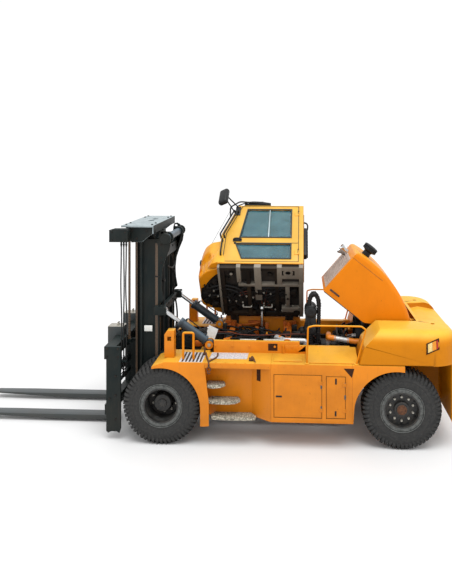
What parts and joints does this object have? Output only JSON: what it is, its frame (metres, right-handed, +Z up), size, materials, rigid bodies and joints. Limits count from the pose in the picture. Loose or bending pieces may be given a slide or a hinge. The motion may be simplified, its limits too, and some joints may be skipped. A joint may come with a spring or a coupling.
{
  "type": "diesel forklift",
  "caption": "Heavy diesel counterbalance forklift with telescopic mast, broad fork carriage, cab tilted open to one side and engine hood raised.",
  "frame": {"origin": "on the ground under the middle of the bounding box", "axes": "+X forward to the forks, +Y to the left of the driver, +Z up"},
  "size_m": [7.526, 3.1088, 3.524],
  "materials": {
    "body_side": "semi-gloss paint",
    "body_top": "semi-gloss paint",
    "dark_paint": "satin paint",
    "mast_paint": "satin paint",
    "plate_grey": "satin paint",
    "chrome_rod": "polished",
    "tyre": "matt",
    "rim": "satin paint",
    "cast": "rough",
    "steel": "satin",
    "glass": "clear",
    "black_plastic": "matt",
    "hose_rubber": "matt",
    "seat_fabric": "woven"
  },
  "bodies": {
    "chassis": {"main_frame": "dark_paint", "steer_axle": "cast", "drive_axle": "cast", "front_fenders": "body_side", "step_wells": "body_side", "steps": "steel", "side_box_left": "body_side", "hydraulic_tank_right": "body_side", "rear_arches": "body_side", "inner_beams": "body_side", "counterweight": "body_top", "powertrain": "cast", "radiator": "dark_paint", "air_intake": "black_plastic", "handrails": "body_side", "lamp_posts": "body_side", "cab_hinges": "dark_paint", "cab_rests": "dark_paint"},
    "mast_outer": {"outer_mast": "mast_paint", "lift_barrels": "mast_paint"},
    "mast_inner": {"inner_mast": "mast_paint", "mast_head": "plate_grey", "hose_box": "dark_paint", "lift_chains": "steel", "mast_hoses": "hose_rubber"},
    "carriage": {"carriage": "mast_paint"},
    "fork_left": {"fork_left": "mast_paint"},
    "fork_right": {"fork_right": "mast_paint"},
    "tilt_barrel_left": {"tilt_barrel_left": "dark_paint"},
    "tilt_rod_left": {"tilt_rod_left": "chrome_rod"},
    "tilt_barrel_right": {"tilt_barrel_right": "dark_paint"},
    "tilt_rod_right": {"tilt_rod_right": "chrome_rod"},
    "front_wheels_left": {"front_tyres_left": "tyre", "front_wheel_left": "rim"},
    "front_wheels_right": {"front_tyres_right": "tyre", "front_wheel_right": "rim"},
    "knuckle_left": {"knuckle_left": "cast"},
    "knuckle_right": {"knuckle_right": "cast"},
    "rear_wheel_left": {"rear_tyre_left": "tyre", "rear_wheel_left": "rim"},
    "rear_wheel_right": {"rear_tyre_right": "tyre", "rear_wheel_right": "rim"},
    "cab": {"cab_shell": "body_top", "cab_glass": "glass", "cab_cowl": "body_side", "cab_underframe": "dark_paint", "seat": "seat_fabric", "steering_column": "black_plastic", "cab_mirror": "black_plastic"},
    "cab_door": {"cab_door": "body_top", "door_glass": "glass"},
    "cab_ram_barrel": {"cab_ram_barrel": "dark_paint"},
    "cab_ram_rod": {"cab_ram_rod": "chrome_rod"},
    "hood": {"hood": "body_side", "air_intake_cap": "black_plastic", "exhaust_outlet": "chrome_rod"},
    "side_door_large": {"side_door_large": "body_side"},
    "side_door_small": {"side_door_small": "body_side"}
  },
  "joints": [
    {"name": "mast_tilt", "type": "hinge", "parent": "chassis", "child": "mast_outer", "pos_m": [0.507, 0.29189, 0.5625], "axis": [0, 1, 0], "range_deg": [-10, 6]},
    {"name": "inner_lift", "type": "slide", "parent": "mast_outer", "child": "mast_inner", "axis": [0, 0, 1], "range_m": [0, 1.36]},
    {"name": "carriage_lift", "type": "slide", "parent": "mast_inner", "child": "carriage", "axis": [0, 0, 1], "range_m": [0, 1.36], "deforming": ["lift_chains", "mast_hoses"]},
    {"name": "fork_left_shift", "type": "slide", "parent": "carriage", "child": "fork_left", "axis": [0, 1, 0], "range_m": [-0.2, 0.5]},
    {"name": "fork_right_shift", "type": "slide", "parent": "carriage", "child": "fork_right", "axis": [0, -1, 0], "range_m": [-0.2, 0.5]},
    {"name": "tilt_barrel_left_swing", "type": "hinge", "parent": "chassis", "child": "tilt_barrel_left", "pos_m": [-0.108, 0.88189, 1.28], "axis": [0, 1, 0], "range_deg": [-9.83, 6.13]},
    {"name": "tilt_rod_left_stroke", "type": "slide", "parent": "tilt_barrel_left", "child": "tilt_rod_left", "axis": [0.8195, 0, 0.5731], "range_m": [-0.16615, 0.10049]},
    {"name": "tilt_barrel_right_swing", "type": "hinge", "parent": "chassis", "child": "tilt_barrel_right", "pos_m": [-0.108, -0.29811, 1.28], "axis": [0, 1, 0], "range_deg": [-9.83, 6.13]},
    {"name": "tilt_rod_right_stroke", "type": "slide", "parent": "tilt_barrel_right", "child": "tilt_rod_right", "axis": [0.8195, 0, 0.5731], "range_m": [-0.16615, 0.10049]},
    {"name": "front_wheels_left_spin", "type": "hinge", "parent": "chassis", "child": "front_wheels_left", "pos_m": [0.507, 1.19189, 0.5625], "axis": [0, 1, 0], "continuous": true},
    {"name": "front_wheels_right_spin", "type": "hinge", "parent": "chassis", "child": "front_wheels_right", "pos_m": [0.507, -0.60811, 0.5625], "axis": [0, 1, 0], "continuous": true},
    {"name": "steer_left", "type": "hinge", "parent": "chassis", "child": "knuckle_left", "pos_m": [-2.933, 1.13189, 0.5625], "axis": [0, 0, 1], "range_deg": [-55, 55]},
    {"name": "rear_wheel_left_spin", "type": "hinge", "parent": "knuckle_left", "child": "rear_wheel_left", "pos_m": [-2.933, 1.33689, 0.5625], "axis": [0, 1, 0], "continuous": true},
    {"name": "steer_right", "type": "hinge", "parent": "chassis", "child": "knuckle_right", "pos_m": [-2.933, -0.54811, 0.5625], "axis": [0, 0, 1], "range_deg": [-55, 55]},
    {"name": "rear_wheel_right_spin", "type": "hinge", "parent": "knuckle_right", "child": "rear_wheel_right", "pos_m": [-2.933, -0.75311, 0.5625], "axis": [0, 1, 0], "continuous": true},
    {"name": "cab_tilt", "type": "hinge", "parent": "chassis", "child": "cab", "pos_m": [-0.823, -0.34811, 1.395], "axis": [1, 0, 0], "range_deg": [-55, 0]},
    {"name": "cab_door_swing", "type": "hinge", "parent": "cab", "child": "cab_door", "pos_m": [-1.458, -0.25, 2.85142], "axis": [0, -0.8192, 0.5736], "range_deg": [0, 85]},
    {"name": "cab_ram_swing", "type": "hinge", "parent": "chassis", "child": "cab_ram_barrel", "pos_m": [-0.843, -0.04811, 0.59], "axis": [1, 0, 0], "range_deg": [-5.16, 0.57]},
    {"name": "cab_ram_stroke", "type": "slide", "parent": "cab_ram_barrel", "child": "cab_ram_rod", "axis": [0, -0.0823, 0.9966], "range_m": [-0.26048, 0.002]},
    {"name": "hood_lift", "type": "hinge", "parent": "chassis", "child": "hood", "pos_m": [-3.193, 0.29189, 1.622], "axis": [0, -1, 0], "range_deg": [-38, 0]},
    {"name": "side_door_large_swing", "type": "hinge", "parent": "chassis", "child": "side_door_large", "pos_m": [-1.801, 1.55919, 0.756], "axis": [0, 0, 1], "range_deg": [0, 105]},
    {"name": "side_door_small_swing", "type": "hinge", "parent": "chassis", "child": "side_door_small", "pos_m": [-2.133, 1.55919, 0.7485], "axis": [0, 0, 1], "range_deg": [0, 105]}
  ],
  "couplings": [
    {"joint": "carriage_lift", "follows": "inner_lift", "ratio": 1},
    {"joint": "steer_right", "follows": "steer_left", "ratio": 1},
    {"joint": "cab_ram_swing", "follows": "cab_tilt", "ratio": 0.083447},
    {"joint": "cab_ram_stroke", "follows": "cab_tilt", "m_per_rad": 0.26927},
    {"joint": "tilt_barrel_left_swing", "follows": "mast_tilt", "ratio": 0.92589},
    {"joint": "tilt_rod_left_stroke", "follows": "mast_tilt", "m_per_rad": 0.94053},
    {"joint": "tilt_barrel_right_swing", "follows": "mast_tilt", "ratio": 0.92589},
    {"joint": "tilt_rod_right_stroke", "follows": "mast_tilt", "m_per_rad": 0.94053}
  ]
}
